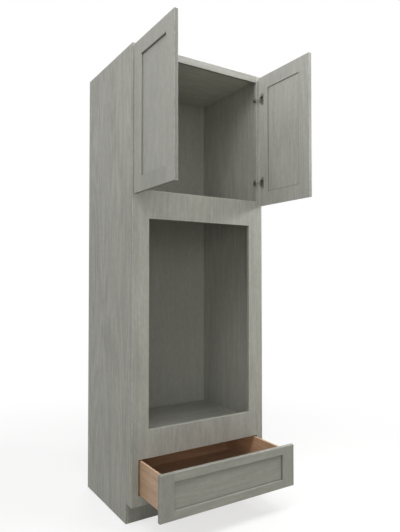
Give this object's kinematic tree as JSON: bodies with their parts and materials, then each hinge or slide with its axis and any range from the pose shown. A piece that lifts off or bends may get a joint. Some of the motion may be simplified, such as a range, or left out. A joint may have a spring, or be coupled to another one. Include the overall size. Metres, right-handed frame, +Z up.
{
  "type": "tall oven housing unit",
  "caption": "Tall face-frame cabinet with an open oven bay, shaker doors on linked cup hinges above it and a drawer on full-extension runners below.",
  "frame": {"origin": "middle of the back face at floor level", "axes": "+X to the cabinet's right as seen from the front, +Y towards the wall behind, +Z up"},
  "size_m": [0.8382, 1.0242, 2.4384],
  "materials": {
    "grey_finish": "grey stained wood with a fine textured grain",
    "drawer_wood": "clear-coated light wood",
    "hinge_steel": "nickel-plated",
    "cup_steel": "dark nickel",
    "screw_steel": "zinc-plated",
    "runner_steel": "galvanised",
    "runner_plastic": "satin",
    "bumper_clear": "soft and clear"
  },
  "bodies": {
    "cabinet": {"left_side_panel": "grey_finish", "right_side_panel": "grey_finish", "back_panel": "grey_finish", "top_panel": "grey_finish", "upper_floor": "grey_finish", "oven_deck": "grey_finish", "bay_floor": "grey_finish", "toe_board": "grey_finish", "upper_nailer": "grey_finish", "lower_nailer": "grey_finish", "deck_cleats": "grey_finish", "left_stile": "grey_finish", "right_stile": "grey_finish", "top_rail": "grey_finish", "oven_panel": "grey_finish", "bottom_rail": "grey_finish", "hinge_bases": "hinge_steel", "hinge_base_pins": "cup_steel", "hinge_base_screws": "screw_steel", "runner_rails": "runner_steel", "runner_screws": "screw_steel"},
    "left_outer_link": {"left_outer_links": "hinge_steel"},
    "left_inner_link": {"left_inner_links": "hinge_steel"},
    "left_door": {"left_door_hinge_stile": "grey_finish", "left_door_latch_stile": "grey_finish", "left_door_top_rail": "grey_finish", "left_door_bottom_rail": "grey_finish", "left_door_panel": "grey_finish", "left_hinge_cups": "cup_steel", "left_cup_pins": "cup_steel", "left_cup_screws": "screw_steel", "left_door_bumpers": "bumper_clear"},
    "right_outer_link": {"right_outer_links": "hinge_steel"},
    "right_inner_link": {"right_inner_links": "hinge_steel"},
    "right_door": {"right_door_hinge_stile": "grey_finish", "right_door_latch_stile": "grey_finish", "right_door_top_rail": "grey_finish", "right_door_bottom_rail": "grey_finish", "right_door_panel": "grey_finish", "right_hinge_cups": "cup_steel", "right_cup_pins": "cup_steel", "right_cup_screws": "screw_steel", "right_door_bumpers": "bumper_clear"},
    "runner_carriage": {"runner_carriages": "runner_steel", "runner_glides": "runner_plastic"},
    "drawer": {"drawer_front_left_stile": "grey_finish", "drawer_front_right_stile": "grey_finish", "drawer_front_top_rail": "grey_finish", "drawer_front_bottom_rail": "grey_finish", "drawer_front_panel": "grey_finish", "drawer_box_left": "drawer_wood", "drawer_box_right": "drawer_wood", "drawer_box_front": "drawer_wood", "drawer_box_back": "drawer_wood", "drawer_bottom": "drawer_wood", "drawer_slides": "runner_steel", "drawer_front_screws": "screw_steel", "drawer_bumpers": "bumper_clear"}
  },
  "joints": [
    {"name": "left_outer_link_hinge", "type": "hinge", "parent": "cabinet", "child": "left_outer_link", "pos_m": [-0.3765, -0.6193, 2.04787], "axis": [0, 0, -1], "range_deg": [-1, 21.52]},
    {"name": "left_door_hinge", "type": "hinge", "parent": "left_outer_link", "child": "left_door", "pos_m": [-0.3998, -0.62536, 2.04787], "axis": [0, 0, -1], "range_deg": [-111.5, 4.96]},
    {"name": "left_inner_link_hinge", "type": "hinge", "parent": "cabinet", "child": "left_inner_link", "pos_m": [-0.3738, -0.6138, 2.04787], "axis": [0, 0, -1], "range_deg": [-1.55, 33.32]},
    {"name": "right_outer_link_hinge", "type": "hinge", "parent": "cabinet", "child": "right_outer_link", "pos_m": [0.3765, -0.6193, 2.04787], "axis": [0, 0, 1], "range_deg": [-1, 21.52]},
    {"name": "right_door_hinge", "type": "hinge", "parent": "right_outer_link", "child": "right_door", "pos_m": [0.3998, -0.62536, 2.04787], "axis": [0, 0, 1], "range_deg": [-111.5, 4.96]},
    {"name": "right_inner_link_hinge", "type": "hinge", "parent": "cabinet", "child": "right_inner_link", "pos_m": [0.3738, -0.6138, 2.04787], "axis": [0, 0, 1], "range_deg": [-1.55, 33.32]},
    {"name": "drawer_slide", "type": "slide", "parent": "cabinet", "child": "drawer", "axis": [0, -1, 0], "range_m": [-0.255, 0.265]},
    {"name": "carriage_slide", "type": "slide", "parent": "cabinet", "child": "runner_carriage", "axis": [0, -1, 0], "range_m": [-0.1275, 0.1325]}
  ],
  "couplings": [
    {"joint": "left_outer_link_hinge", "follows": "left_door_hinge", "ratio": -0.19283},
    {"joint": "left_inner_link_hinge", "follows": "left_door_hinge", "ratio": -0.29865},
    {"joint": "right_outer_link_hinge", "follows": "right_door_hinge", "ratio": -0.19283},
    {"joint": "right_inner_link_hinge", "follows": "right_door_hinge", "ratio": -0.29865},
    {"joint": "carriage_slide", "follows": "drawer_slide", "ratio": 0.5}
  ]
}
